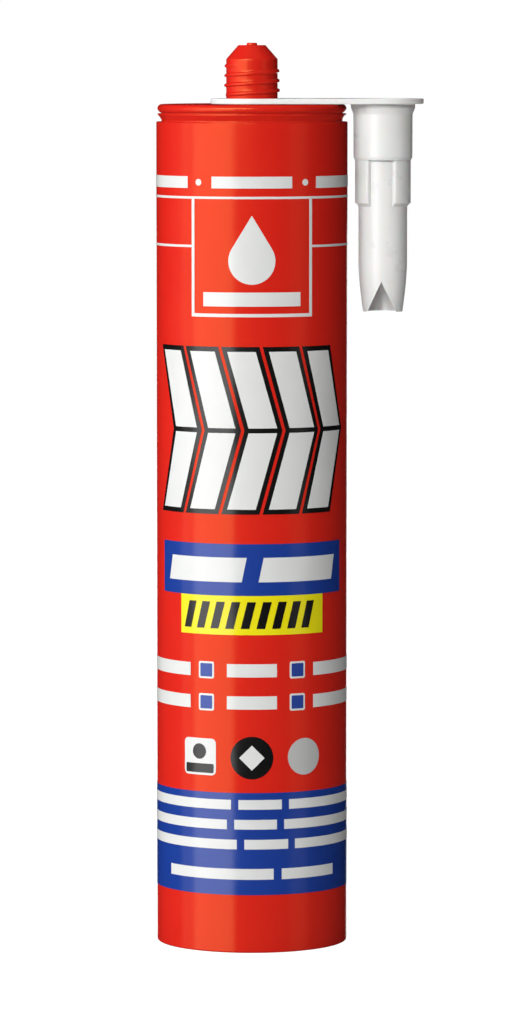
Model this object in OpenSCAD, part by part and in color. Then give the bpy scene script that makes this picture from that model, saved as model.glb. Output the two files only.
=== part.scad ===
// Caulk tube: a 310 ml sealant cartridge with its nozzle carried beside the nipple.
// It stands on its open rear end. The origin is the centre of the rear rim and +Z points
// towards the nipple. The nozzle hangs tip down on the +X side, and the print faces -Y.

/* [Barrel] */
// Outer diameter of the barrel
barrel_d = 49.5; // [46:0.1:56]
// Wall of the barrel
barrel_wall = 1.35; // [1:0.05:2]
// Height of the plain barrel, from the rear rim to the groove below the head
barrel_h = 213.3; // [190:0.1:260]
// Rounding of the barrel's outer edges
barrel_edge = 0.5; // [0.2:0.1:0.8]
// Depth of the slightly wider bore at the rear end
lead_in_depth = 12; // [6:0.5:16]
// Widening of the bore there, on the radius
lead_in_step = 0.15; // [0.1:0.05:0.4]
// Chamfer at the mouth of the rear end
mouth_chamfer = 0.4; // [0.2:0.1:0.6]

/* [Head] */
// Thickness of the head's flat top
head_wall = 1.8; // [1.2:0.1:2.5]
// Depth of the groove between the barrel and the head's barb
groove_depth = 1.35; // [0.8:0.05:1.6]
// Height of that groove
groove_h = 0.4; // [0.2:0.1:1]
// Height of the barb's cone
barb_rise = 1.4; // [1:0.1:2]
// How far the barb's crest stays inside the barrel's outline
barb_inset = 0.35; // [0.2:0.05:0.6]
// Height of the barb's crest
barb_lip = 0.3; // [0.2:0.1:0.5]
// Depth of the narrow groove between the barb and the bead
seam_depth = 1.25; // [0.8:0.05:1.4]
// Height of that groove
seam_h = 0.2; // [0.1:0.05:0.5]
// Radius of the rounded bead round the head's top
bead_r = 1.1; // [0.8:0.05:1.4]
// How far the bead stays inside the barrel's outline
bead_inset = 0.3; // [0.1:0.05:0.6]

/* [Nipple] */
// Diameter of the nipple below its thread
nipple_d = 13.3; // [11:0.1:15]
// Height of its cylindrical stretch over the head
nipple_h = 11.6; // [10:0.1:15]
// Wall of the nipple
nipple_wall = 1.25; // [0.8:0.05:1.6]
// Height of the closed cone over it
cone_h = 3.6; // [2.5:0.1:5]
// Diameter of the cone's flat tip
cone_tip_d = 7; // [5:0.1:9]
// Diameter of the gate mark on the tip
gate_d = 2.7; // [1.5:0.1:4]
// Height of the gate mark
gate_h = 0.6; // [0.3:0.1:1]

/* [Nipple thread] */
// Rise of the thread for each turn
thread_pitch = 2.5; // [2:0.1:3]
// Height of the thread's crest over the nipple at its first turn
thread_depth = 0.6; // [0.4:0.05:0.8]
// Height of the crest at its last turn
thread_end_depth = 0.4; // [0.3:0.05:0.6]
// Width of the thread's foot
thread_foot = 1.35; // [1:0.05:1.6]
// Width of the thread's crest
thread_crest = 0.5; // [0.3:0.05:0.8]
// Number of turns
thread_turns = 3.2; // [2:0.1:3.4]

/* [Piston] */
// Distance from the rear rim up to the piston
piston_recess = 20; // [14:0.5:40]
// Height of the piston's skirt
skirt_h = 11; // [8:0.5:16]
// Height of the plug in front of the skirt, which fills the head's neck
plug_h = 4.9; // [4:0.1:7]
// Wall of the piston
piston_wall = 1.2; // [0.8:0.1:2]
// Running clearance between the sealing lips and the bore, on the radius
lip_clear = 0.05; // [0.02:0.01:0.1]
// Clearance between the plug's end and the head's neck, on the radius
plug_clear = 1.1; // [0.8:0.1:2]
// Gap between the piston and the sealant
sealant_gap = 0.3; // [0.2:0.05:0.6]
// How far the skirt stays inside its lips
lip_height = 0.5; // [0.3:0.05:0.8]
// Width of a lip at its foot
lip_foot = 1.8; // [1.2:0.1:2.4]
// Number of ribs in the open rear of the piston
rib_count = 8; // [4:1:12]
// Depth of the ribs behind the piston's face
rib_depth = 5; // [3:0.5:8]
// Diameter of the hub ring that the ribs meet
hub_d = 14; // [10:0.5:20]

/* [Strap] */
// Thickness of the strap
strap_t = 1.4; // [1:0.1:2]
// Radius of the strap's end round the nipple
ring_end_r = 10.7; // [9.5:0.1:14]
// Radius of the strap's end round the nozzle
nozzle_end_r = 10.5; // [9.5:0.1:14]
// Clearance of the ring's hole round the nipple, on the radius
ring_clear = 0.25; // [0.1:0.05:0.35]
// Gap between the head and the strap
strap_gap = 0.05; // [0.02:0.01:0.3]

/* [Nozzle] */
// Radius of the collar under the strap
collar_r = 8.3; // [8:0.1:9.5]
// Height of the collar
collar_h = 1.05; // [0.6:0.05:2]
// Height of the cone from the collar to the nozzle's body
collar_cone_h = 1.6; // [1:0.1:3]
// Gap between the barrel's outline and the collar
nozzle_gap = 0.85; // [0.5:0.05:3]
// Outer radius of the body, which holds the screw socket
body_r = 7.65; // [7.4:0.05:8]
// Height of the body below the collar's cone
body_h = 11; // [9:0.5:14]
// Clearance of the socket round the nipple, on the radius
socket_clear = 0.1; // [0.05:0.05:0.3]
// Radius of the four-sided grip's rounded sides
grip_r = 7.2; // [6.9:0.05:7.4]
// Height of the grip
grip_h = 11.1; // [8:0.1:14]
// Half angle of the open window between the grip's sides
window_half = 26; // [15:1:40]
// Outer radius of the tube below the grip
tube_r = 6.3; // [5.8:0.05:6.5]
// Wall of the tube
tube_wall = 1.05; // [0.8:0.05:1.4]
// Height of the straight tube below the grip
tube_h = 15.4; // [10:0.1:30]
// Height of the tapered tip
tip_h = 11.8; // [8:0.1:16]
// Outer radius of the tip's end
tip_r = 5.1; // [4.2:0.1:5.6]
// Width of the V notch at the tip's end
notch_w = 7.6; // [4:0.1:8]
// Height of the V notch
notch_h = 7.9; // [4:0.1:11]

/* [Print] */
// Thickness of an ink film
film_t = 0.05; // [0.04:0.01:0.1]
// Gap under an ink film
film_gap = 0.02; // [0.01:0.01:0.05]
// Height of the plain strip below the print
print_bottom = 15.1; // [5:0.1:30]
// Height of the plain strip above the print
print_top = 12.4; // [5:0.1:30]
// Thickness of the fine lines round the barrel
fine_line = 0.6; // [0.3:0.1:1]
// Thickness of the frame's lines
frame_line = 0.85; // [0.4:0.05:1.5]
// Number of chevrons in the large motif
chevron_count = 5; // [3:1:7]
// Thickness of the black outline round the large motif
chevron_outline = 1.25; // [0.6:0.05:2]
// Number of slanted stripes on the yellow field
stripe_count = 9; // [5:1:13]
// Side of the small squares between the word bars
square_side = 4.4; // [3:0.1:5]
// Thickness of the squares' pale border
square_border = 0.5; // [0.3:0.05:0.8]

/* [Artwork heights] */
// Height of the blue band at the print's lower edge
band_h = 26.45; // [24:0.05:32]
// Height of its rows of small bars
band_bar_h = 2.5; // [1.5:0.1:3]
// Distance between the middles of those rows
band_step = 5.15; // [4:0.05:6]
// Space between the band and the row of badges
badge_gap = 3.55; // [2:0.05:8]
// Diameter of the black disc, the tallest badge
disc_d = 11; // [8:0.1:13]
// Side of the square badge, and the diameter of the grey one
badge_side = 9.5; // [6:0.1:10.5]
// Space between the badges and the two rows of word bars
word_gap = 6.5; // [3:0.1:12]
// Height of a word bar
word_bar_h = 3.4; // [2:0.1:5]
// Space between the squares of the two rows
word_space = 3.9; // [1.5:0.1:6]
// Space between the word bars and the yellow field
yellow_gap = 7; // [3:0.1:12]
// Height of the yellow field
yellow_h = 10.1; // [8:0.1:14]
// Height of the blue field on the yellow one
blue_h = 13.3; // [10:0.1:18]
// Space between the blue field and the large motif
motif_gap = 7.6; // [3:0.1:12]
// Height of the large motif
motif_h = 42.9; // [30:0.1:60]
// Space between the large motif and the frame
frame_gap = 7.6; // [3:0.1:12]
// Height of the frame, up to the fine line
frame_h = 30.7; // [27:0.1:40]
// Height of the wide bar in the frame
frame_bar_h = 3.6; // [2:0.1:5]
// Radius of the drop's round body
drop_r = 6; // [4:0.1:7]
// Height of its point over the middle of that body
drop_point = 11.6; // [9:0.1:13]
// Distance between the two fine lines
line_step = 12.4; // [8:0.1:18]
// Height of the bars over the fine line
name_bar_h = 3; // [2:0.1:4]

/* [Hidden] */

// Segments of a full turn
round_fn = 128;
// Clearance that lets a cut pass through a face
through = 1;

barrel_r = barrel_d / 2;
bore_r = barrel_r - barrel_wall;
lead_in_r = bore_r + lead_in_step;
nipple_r = nipple_d / 2;

// Heights up the head
barb_z = barrel_h + groove_h;
seam_z = barb_z + barb_rise + barb_lip;
bead_z = seam_z + seam_h;
head_top = bead_z + 2 * bead_r;
head_under = head_top - head_wall;
groove_r = barrel_r - groove_depth;
barb_r = barrel_r - barb_inset;
seam_r = barrel_r - seam_depth;
bead_centre_r = barrel_r - bead_inset - bead_r;

// The bore narrows under the grooves, so that the wall is whole there
neck_r = groove_r - barrel_wall;
neck_z = barrel_h - barrel_wall;
neck_start_z = neck_z - (bore_r - neck_r);

nipple_top = head_top + nipple_h;
cone_top = nipple_top + cone_h;
nipple_bore_r = nipple_r - nipple_wall;
cone_tip_r = cone_tip_d / 2;

// Middle of the thread's foot at its two ends, clear of the strap's ring
strap_z = head_top + strap_gap;
strap_top = strap_z + strap_t;
thread_z = strap_top + thread_foot / 2 + 0.1;
thread_start_angle = 170;
thread_root = 0.35;
thread_steps = 36;

// Piston, measured up from the rear rim
skirt_r = bore_r - lip_clear - lip_height;
lip_r = bore_r - lip_clear;
plug_r = neck_r - plug_clear;
skirt_top = piston_recess + skirt_h;
piston_face_z = skirt_top + plug_h;
sealant_clear = 0.05;
// Shift on the radius that keeps the sealant that gap away from the plug's cone
cone_shift = sealant_gap * (norm([plug_h, skirt_r - plug_r]) - (skirt_r - plug_r)) / plug_h;

// Nozzle, measured down from the strap
nozzle_x = barrel_r + nozzle_gap + collar_r;
socket_r = nipple_r + socket_clear;
body_top = strap_z - collar_h - collar_cone_h;
body_bottom = body_top - body_h;
grip_taper = 0.8;
grip_top = body_bottom - grip_taper;
grip_bottom = grip_top - grip_h;
grip_chamfer = grip_r - tube_r;
tube_top = grip_bottom - grip_chamfer;
tube_bottom = tube_top - tube_h;
tip_bottom = tube_bottom - tip_h;
tube_bore_r = tube_r - tube_wall;
socket_floor = body_bottom + 1.8;

// Heights in the artwork, which run up from its lower edge
badge_mid = band_h + badge_gap + disc_d / 2;
word_low = badge_mid + disc_d / 2 + word_gap;
word_rows = [word_low + square_side / 2, word_low + 1.5 * square_side + word_space];
yellow_low = word_rows[1] + square_side / 2 + yellow_gap;
blue_low = yellow_low + yellow_h;
blue_high = blue_low + blue_h;
motif_low = blue_high + motif_gap;
motif_high = motif_low + motif_h;
motif_mid = (motif_low + motif_high) / 2;
frame_low = motif_high + frame_gap;
frame_high = frame_low + frame_h;
second_line = frame_high - line_step;
name_low = frame_high + 2.1;
name_row = name_low + name_bar_h / 2;
artwork_h = name_low + name_bar_h + 1.3;

// Height on the barrel for each unit of height in the artwork
print_scale = (barrel_h - print_bottom - print_top) / artwork_h;
first_ink = barrel_r + film_gap;
second_ink = first_ink + film_t + film_gap;

// Half angles of the print's fields, seen from the barrel's axis
frame_half = 38.3;
motif_half = 68;
blue_half = 65.5;
yellow_half = 47;
word_inner = 15;
square_at = 28.2;
word_outer = 39.5;
word_end = 92;
badge_at = 33;

// Large motif: how far a chevron's middle is moved along, and the space between two of them
chevron_lean = 14;
chevron_space = 2;
chevron_step = (2 * motif_half + chevron_space - chevron_lean) / chevron_count;
outline_v = chevron_outline / print_scale;

// Slanted stripes on the yellow field
stripe_half = 42;
stripe_margin = 1.6;
stripe_lean = 4;
stripe_share = 0.55;

// Wide bar in the frame and the drop over it
frame_bar_low = frame_low + 2.7;
frame_bar_half = 30;
drop_v = frame_bar_low + frame_bar_h + 2 + drop_r;

// Badges in the lower row
badge_corner = 1.2;
diamond_side = 4.6;

name_dot_at = 33.4;
name_dot_d = 1.7;
blue_bar_lean = 3;
blue_bar_margin = 3.5;

// Bars in the places of words, one list of [start angle, end angle] for each row
name_bars = [[-92, -41.5], [-24.5, 24.5], [41.5, 92]];
word_bars = [[-word_end, -word_outer], [-word_inner, word_inner], [word_outer, word_end]];
blue_bars = [[-58, -6], [4, 55]];
band_bars = [
    [[-92, -12.5], [-8, 18], [22.6, 92]],
    [[-92, -15], [-10.5, 15], [19.5, 92]],
    [[-92, -9], [-4.5, 22], [26.5, 92]]
];
foot_bars = [[-57, 13], [18, 57]];
foot_bar_h = 2.8;
band_row = band_h - 3.05;
foot_row = band_row - 2 * band_step - 7.7;

// Points of a circle's arc from angle a0 to a1 in n steps
function arc(centre, r, a0, a1, n) =
    [for (i = [0:n]) let (a = a0 + (a1 - a0) * i / n) centre + r * [cos(a), sin(a)]];

// Height on the barrel of a height in the artwork
function up(v) = print_bottom + v * print_scale;

// Where an angle on the barrel's front lies across its width
function across(a) = barrel_r * sin(a);

// The angle that an arc length on the barrel spans
function spread(s) = s / barrel_r * 180 / PI;

module turned(points) {
    rotate_extrude($fn = round_fn) polygon(points);
}

// Red moulding: barrel, head with two ridges, and nipple
module cartridge() {
    bead_start = -acos((seam_r - bead_centre_r) / bead_r);
    outside = concat(
        [[lead_in_r + mouth_chamfer, 0]],
        arc([barrel_r - barrel_edge, barrel_edge], barrel_edge, -90, 0, 4),
        arc([barrel_r - barrel_edge / 2, barrel_h - barrel_edge / 2], barrel_edge / 2, 0, 90, 3),
        [[groove_r, barrel_h], [groove_r, barb_z], [barb_r, seam_z - barb_lip], [barb_r, seam_z],
         [seam_r, seam_z]],
        arc([bead_centre_r, bead_z + bead_r], bead_r, bead_start, 90, 9),
        [[nipple_r, head_top], [nipple_r, nipple_top], [cone_tip_r, cone_top]],
        arc([gate_d / 2 - gate_h / 2, cone_top + gate_h / 2], gate_h / 2, 0, 90, 3)
    );
    inside = [
        [0, cone_top + gate_h], [0, cone_top - nipple_wall],
        [cone_tip_r - nipple_wall, cone_top - nipple_wall],
        [nipple_bore_r, nipple_top - nipple_wall / 2], [nipple_bore_r, head_under],
        [neck_r, head_under], [neck_r, neck_z], [bore_r, neck_start_z],
        [bore_r, lead_in_depth + lead_in_step], [lead_in_r, lead_in_depth],
        [lead_in_r, mouth_chamfer]
    ];
    color("#e2301f") union() {
        turned(concat(outside, inside));
        nipple_thread();
    }
}

// One ring of the thread's section at turn t: foot, crest, crest, foot
function thread_section(t) =
    let (
        fade = min(1, min(t, thread_turns - t) * 6),
        depth = (thread_depth + (thread_end_depth - thread_depth) * t / thread_turns) * fade,
        a = thread_start_angle + 360 * t,
        z = thread_z + thread_pitch * t,
        foot_r = nipple_r - thread_root,
        crest_r = nipple_r + depth - 0.02 * (1 - fade),
        profile = [
            [foot_r, -thread_foot / 2], [crest_r, -thread_crest / 2],
            [crest_r, thread_crest / 2], [foot_r, thread_foot / 2]
        ]
    )
    [for (p = profile) [p[0] * cos(a), p[0] * sin(a), z + p[1]]];

// Right-handed ridge round the nipple, sunk into it by thread_root
module nipple_thread() {
    steps = ceil(thread_turns * thread_steps);
    points = [for (i = [0:steps]) each thread_section(i * thread_turns / steps)];
    last = 4 * steps;
    sides = [
        for (i = [0:steps - 1], k = [0:3])
            let (a = 4 * i + k, b = 4 * i + (k + 1) % 4)
            each [[a, a + 4, b + 4], [a, b + 4, b]]
    ];
    ends = [[0, 1, 2], [0, 2, 3], [last, last + 2, last + 1], [last, last + 3, last + 2]];
    polyhedron(points, concat(sides, ends));
}

// White filling between the piston and the head
module sealant() {
    c = sealant_clear;
    color("#ece9e2") turned([
        [0, piston_face_z + sealant_gap], [plug_r + cone_shift, piston_face_z + sealant_gap],
        [skirt_r + cone_shift, skirt_top + sealant_gap], [bore_r - c, skirt_top + sealant_gap],
        [bore_r - c, neck_start_z], [neck_r - c, neck_z], [neck_r - c, head_under - c],
        [nipple_bore_r - c, head_under - c],
        [nipple_bore_r - c, nipple_top - nipple_wall / 2 - c],
        [cone_tip_r - nipple_wall - c, cone_top - nipple_wall - c],
        [0, cone_top - nipple_wall - c]
    ]);
}

// Cup-shaped piston with two sealing lips, open to the rear
module piston() {
    top = skirt_h + plug_h;
    cup_r = skirt_r - piston_wall;
    outline = [
        [0, top], [0, top - piston_wall], [plug_r - piston_wall, top - piston_wall],
        [cup_r, skirt_h - piston_wall / 2], [cup_r, 0], [skirt_r, 0],
        [lip_r, lip_foot / 3], [lip_r, lip_foot * 2 / 3], [skirt_r, lip_foot * 1.5],
        [skirt_r, skirt_h - lip_foot * 1.5], [lip_r, skirt_h - lip_foot * 2 / 3],
        [lip_r, skirt_h - lip_foot / 3], [skirt_r, skirt_h], [plug_r, top]
    ];
    half = piston_wall / 2;
    inside_the_wall = [
        [0, 0], [cup_r + half, 0], [cup_r + half, skirt_h - half / 2], [plug_r - half, top - half],
        [0, top - half]
    ];
    color("#e9e7e0") translate([0, 0, piston_recess]) union() {
        turned(outline);
        intersection() {
            turned(inside_the_wall);
            translate([0, 0, top - piston_wall - rib_depth]) hub_and_ribs();
        }
    }
}

// Ring and spokes that stiffen the piston's face, longer and higher than the room for them
module hub_and_ribs() {
    height = rib_depth + 2 * piston_wall;
    difference() {
        cylinder(h = height, d = hub_d + piston_wall, $fn = round_fn);
        translate([0, 0, -through])
            cylinder(h = height + 2 * through, d = hub_d - piston_wall, $fn = round_fn);
    }
    for (i = [0:rib_count - 1])
        rotate([0, 0, 360 * i / rib_count])
            translate([hub_d / 2, -piston_wall / 2, 0]) cube([barrel_r, piston_wall, height]);
}

// White moulding: ring, strap and nozzle
module nozzle() {
    color("#f4f4f2") difference() {
        union() {
            translate([0, 0, strap_z]) linear_extrude(strap_t) strap_outline();
            translate([nozzle_x, 0, 0]) turned(nozzle_outline());
        }
        translate([0, 0, strap_z - through])
            cylinder(h = strap_t + 2 * through, r = nipple_r + ring_clear, $fn = round_fn);
        translate([nozzle_x, 0, 0]) {
            turned(nozzle_bore());
            for (side = [0, 180]) rotate([0, 0, side]) grip_window();
            notch();
        }
    }
}

// Strap seen from above: two round ends and straight sides that touch both
module strap_outline() {
    lean = asin((ring_end_r - nozzle_end_r) / nozzle_x);
    side = [sin(lean), cos(lean)];
    flip = [sin(lean), -cos(lean)];
    circle(r = ring_end_r, $fn = round_fn);
    translate([nozzle_x, 0]) circle(r = nozzle_end_r, $fn = round_fn);
    polygon([
        ring_end_r * side, [nozzle_x, 0] + nozzle_end_r * side,
        [nozzle_x, 0] + nozzle_end_r * flip, ring_end_r * flip
    ]);
}

// Outside of the nozzle, from the collar down to the tip
function nozzle_outline() = [
    [0, strap_top], [collar_r, strap_top], [collar_r, strap_z - collar_h],
    [body_r, body_top], [body_r - 0.03, body_bottom], [grip_r + 0.15, grip_top], [grip_r, grip_top],
    [grip_r, grip_bottom], [tube_r, tube_top], [tube_r, tube_bottom],
    for (i = [1:5]) tip_point(i / 5),
    [0, tip_bottom]
];

// The tip's outline at share s of its height, bending in from the straight tube
function tip_point(s) = [
    tube_r - (tube_r - tip_r) * (0.55 * s * s + 0.45 * s),
    tube_bottom - tip_h * s
];

// Inside of the nozzle: screw socket, shoulder and tapered tube
function nozzle_bore() = concat(
    [[0, strap_top + through], [socket_r, strap_top + through], [socket_r, socket_floor],
     [tube_bore_r, socket_floor - (socket_r - tube_bore_r)], [tube_bore_r, tube_bottom]],
    [for (i = [1:5]) tip_point(i / 5) - [tube_wall, 0]],
    [tip_point(1) - [tube_wall, through], [0, tip_bottom - through]]
);

// Space between the grip's raised sides, down to the tube's surface
module grip_window() {
    rotate_extrude(start = -90 - window_half, angle = 2 * window_half, $fn = round_fn)
        polygon([
            [tube_r, grip_top], [body_r, grip_top],
            [body_r, tube_top], [tube_r, tube_top]
        ]);
}

// V notch through the front wall of the tip
module notch() {
    half = notch_w / 2 * (notch_h + through) / notch_h;
    rotate([90, 0, 0]) linear_extrude(tube_r + through)
        polygon([[-half, tip_bottom - through], [half, tip_bottom - through], [0, tip_bottom + notch_h]]);
}

// Film of ink on the barrel between two angles and two artwork heights
module field(ink_r, a0, a1, v0, v1) {
    rotate_extrude(start = a0 - 90, angle = a1 - a0, $fn = round_fn)
        translate([ink_r, up(v0)]) square([film_t, up(v1) - up(v0)]);
}

// Film of ink all round the barrel between two artwork heights
module band(ink_r, v0, v1) {
    rotate_extrude($fn = round_fn) translate([ink_r, up(v0)]) square([film_t, up(v1) - up(v0)]);
}

// Film of ink in the shape of flat children, laid on the barrel at an angle from its front.
// The children's X runs along the barrel's width and their Y up from the rear rim.
module laid_on(ink_r, a = 0) {
    intersection() {
        rotate_extrude(start = a - 175, angle = 170, $fn = round_fn)
            translate([ink_r, 0]) square([film_t, barrel_h]);
        rotate([0, 0, a]) rotate([90, 0, 0]) linear_extrude(2 * barrel_r) children();
    }
}

// Disc of ink round a point on the barrel
module spot(ink_r, a, v, d) {
    laid_on(ink_r, a) translate([0, up(v)]) circle(d = d * print_scale, $fn = round_fn / 2);
}

// Rectangle of ink with rounded corners, centred on a point on the barrel
module badge(ink_r, a, v, size, corner_r) {
    half = size / 2 - [corner_r, corner_r];
    corners = [[1, 1, 0], [-1, 1, 90], [-1, -1, 180], [1, -1, 270]];
    laid_on(ink_r, a) translate([0, up(v)]) scale(print_scale) polygon([
        for (c = corners)
            each arc([c[0] * half[0], c[1] * half[1]], corner_r, c[2], c[2] + 90, 3)
    ]);
}

// Slanted bar: its lower edge runs from a0 to a1, and its upper edge is moved along by lean
module slanted_bar(ink_r, a0, a1, v0, v1, lean) {
    laid_on(ink_r) polygon([
        [across(a0), up(v0)], [across(a1), up(v0)],
        [across(a1 + lean), up(v1)], [across(a0 + lean), up(v1)]
    ]);
}

// How far a chevron's edge is moved along at an artwork height, in degrees
function chevron_shift(v) = chevron_lean * (1 - abs(v - motif_mid) / (motif_high - motif_mid));

// Chevron number i between the heights in a list, drawn in on its left and right
module chevron(ink_r, i, heights, inset) {
    left = -motif_half + i * chevron_step + spread(inset);
    right = -motif_half + (i + 1) * chevron_step - chevron_space - spread(inset);
    count = len(heights);
    laid_on(ink_r) polygon(concat(
        [for (v = heights) [across(left + chevron_shift(v)), up(v)]],
        [for (k = [1:count]) let (v = heights[count - k]) [across(right + chevron_shift(v)), up(v)]]
    ));
}

// Drop in the frame: a round body with straight flanks that meet at its point
module drop() {
    flank = acos(drop_r / drop_point);
    laid_on(first_ink) translate([0, up(drop_v)]) scale(print_scale) polygon(concat(
        [[0, drop_point]], arc([0, 0], drop_r, 90 + flank, 450 - flank, 20)
    ));
}

module white_print() {
    line_v = fine_line / print_scale;
    frame_v = frame_line / print_scale;
    color("#f2f1ef") union() {
        // Fine lines and the frame that hangs from the upper one
        union() {
            band(first_ink, frame_high - line_v, frame_high);
            field(first_ink, -frame_half, frame_half, frame_low, frame_low + frame_v);
            for (a = [-frame_half, frame_half - spread(frame_line)])
                field(first_ink, a, a + spread(frame_line), frame_low, frame_high);
            field(first_ink, frame_half, 360 - frame_half, second_line - line_v, second_line);
        }
        drop();
        bars(first_ink, [[-frame_bar_half, frame_bar_half]], frame_bar_low + frame_bar_h / 2, frame_bar_h);
        bars(first_ink, name_bars, name_row, name_bar_h);
        for (side = [-1, 1]) spot(first_ink, side * name_dot_at, name_row, name_dot_d);
        for (i = [0:chevron_count - 1]) {
            chevron(second_ink, i, [motif_low + outline_v, motif_mid - outline_v / 2], chevron_outline);
            chevron(second_ink, i, [motif_mid + outline_v / 2, motif_high - outline_v], chevron_outline);
        }
        for (b = blue_bars)
            slanted_bar(second_ink, b[0], b[1], blue_low + blue_bar_margin,
                blue_high - blue_bar_margin, blue_bar_lean);
        for (v = word_rows) {
            bars(first_ink, word_bars, v, word_bar_h);
            for (side = [-1, 1])
                badge(first_ink, side * square_at, v, [square_side, square_side], square_border);
        }
        badge(first_ink, -badge_at, badge_mid, [badge_side, badge_side], badge_corner);
        laid_on(second_ink) translate([0, up(badge_mid)]) rotate(45)
            square(diamond_side * print_scale, center = true);
        for (i = [0:len(band_bars) - 1])
            bars(second_ink, band_bars[i], band_row - i * band_step, band_bar_h);
        bars(second_ink, foot_bars, foot_row, foot_bar_h);
    }
}

module blue_print() {
    inner = square_side - 2 * square_border;
    color("#1f429b") union() {
        field(first_ink, -blue_half, blue_half, blue_low, blue_high);
        band(first_ink, 0, band_h);
        for (v = word_rows, side = [-1, 1])
            badge(second_ink, side * square_at, v, [inner, inner], square_border / 2);
    }
}

module yellow_print() {
    color("#f7ea12") field(first_ink, -yellow_half, yellow_half, yellow_low, blue_low - film_gap);
}

module black_print() {
    step = 2 * stripe_half / stripe_count;
    low = yellow_low + stripe_margin;
    high = blue_low - stripe_margin;
    color("#141313") union() {
        for (i = [0:chevron_count - 1])
            chevron(first_ink, i, [motif_low, motif_mid, motif_high], 0);
        for (i = [0:stripe_count - 1]) {
            from = -stripe_half + i * step - stripe_lean / 2;
            slanted_bar(second_ink, from, from + step * stripe_share, low, high, stripe_lean);
        }
        badge(second_ink, -badge_at, badge_mid - badge_side / 3.2,
            [badge_side - 1.2, badge_side / 4], badge_corner / 4);
        spot(second_ink, -badge_at, badge_mid + badge_side / 7, badge_side * 0.42);
        spot(first_ink, 0, badge_mid, disc_d);
    }
}

module grey_print() {
    color("#c9c9c7") spot(first_ink, badge_at, badge_mid, badge_side);
}

// Row of bars of ink of height h round artwork height v, each as [start angle, end angle]
module bars(ink_r, list, v, h) {
    for (b = list) field(ink_r, b[0], b[1], v - h / 2, v + h / 2);
}

cartridge();
sealant();
piston();
nozzle();
white_print();
blue_print();
yellow_print();
black_print();
grey_print();
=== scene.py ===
from math import acos, asin, atan2, ceil, cos, floor, pi, radians, sin, sqrt, tan

import bmesh
import bpy
from bpy.props import FloatProperty, FloatVectorProperty, IntProperty, PointerProperty
from mathutils import Matrix, Vector


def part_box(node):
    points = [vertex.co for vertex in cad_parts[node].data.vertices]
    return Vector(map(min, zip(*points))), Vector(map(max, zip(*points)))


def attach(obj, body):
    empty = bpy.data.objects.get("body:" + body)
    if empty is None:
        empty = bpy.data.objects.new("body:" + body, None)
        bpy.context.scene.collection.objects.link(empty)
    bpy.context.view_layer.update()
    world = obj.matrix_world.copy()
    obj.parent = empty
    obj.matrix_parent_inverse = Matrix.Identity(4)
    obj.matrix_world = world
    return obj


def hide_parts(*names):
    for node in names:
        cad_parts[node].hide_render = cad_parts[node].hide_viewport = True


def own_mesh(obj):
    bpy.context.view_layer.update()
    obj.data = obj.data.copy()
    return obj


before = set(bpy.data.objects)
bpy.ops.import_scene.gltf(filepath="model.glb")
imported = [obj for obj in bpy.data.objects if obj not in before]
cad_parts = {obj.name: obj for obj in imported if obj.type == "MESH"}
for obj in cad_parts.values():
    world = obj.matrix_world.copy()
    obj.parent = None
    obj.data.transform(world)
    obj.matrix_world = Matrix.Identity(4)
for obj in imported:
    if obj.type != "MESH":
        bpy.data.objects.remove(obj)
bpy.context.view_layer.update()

bl_info = {
    "name": "Sealant cartridge",
    "version": (1, 0, 0),
    "blender": (4, 5, 0),
    "location": "View3D > Sidebar > Cartridge",
    "description": "Builds a sealant cartridge with its nozzle, print, piston and filling",
    "category": "Object",
}

MM = 0.001

# Points nearer to each other than MERGE become one, points nearer to a plane than CUT lie on it,
# and lengths that differ by less than LEVEL are the same
MERGE = 0.002 * MM
CUT = 1e-7
LEVEL = 1e-6

# How much the roughness of a plastic varies over its surface, as a share of it
GLOSS_SPREAD = 0.12

# Corners of the CAD nodes that give the overall sizes
CARTRIDGE_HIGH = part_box("cartridge")[1]
NOZZLE_LOW, NOZZLE_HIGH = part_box("nozzle")

# Rows of ink bars: how high the bars are, and the (start, end) of each in degrees from the front
TOP_ROW = 3 * MM, ((-92, -41.5), (-24.5, 24.5), (41.5, 92))
RED_ROW = 3.4 * MM, ((-92, -39.5), (-15, 15), (39.5, 92))
FRAME_ROW = 3.6 * MM, ((-30, 30),)
BAND_ROWS = (
    (2.5 * MM, ((-92, -12.5), (-8, 18), (22.6, 92))),
    (2.5 * MM, ((-92, -15), (-10.5, 15), (19.5, 92))),
    (2.5 * MM, ((-92, -9), (-4.5, 22), (26.5, 92))),
)
FOOT_ROW = 2.8 * MM, ((-57, 13), (18, 57))

# Slanted bars on the blue field and stripes on the yellow one, in degrees. The stripes share
# out their span, each with ink on STRIPE_SHARE of its part.
BLUE_BARS = ((-58, -6), (4, 55))
BLUE_LEAN = 3
STRIPES_START = -44
STRIPES_SPAN = 84
STRIPE_LEAN = 4
STRIPE_SHARE = 0.55

# Half widths of the frame, the fields and the row of chevrons, in degrees
FRAME_HALF = 38.3
BLUE_HALF = 65.5
YELLOW_HALF = 47
CHEVRONS_HALF = 68

# How far a chevron's point is to the right of its ends, and the space between two, in degrees
CHEVRON_LEAN = 14
CHEVRON_SPACE = 2

# Places of the small shapes round the barrel, in degrees from the front
DOTS_AT = (-33.4, 33.4)
SQUARES_AT = (-28.2, 28.2)
TILE_AT = -33
GREY_DISC_AT = 33

# Tiles of ink, as (width, height, rounding of the corners)
SQUARE = 4.4 * MM, 4.4 * MM, 0.5 * MM
SQUARE_CORE = 3.4 * MM, 3.4 * MM, 0.25 * MM
WHITE_TILE = 9.5 * MM, 9.5 * MM, 1.2 * MM
TILE_BAR = 8.3 * MM, 2.375 * MM, 0.3 * MM
LOZENGE = 4.6 * MM, 4.6 * MM, 0


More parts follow.
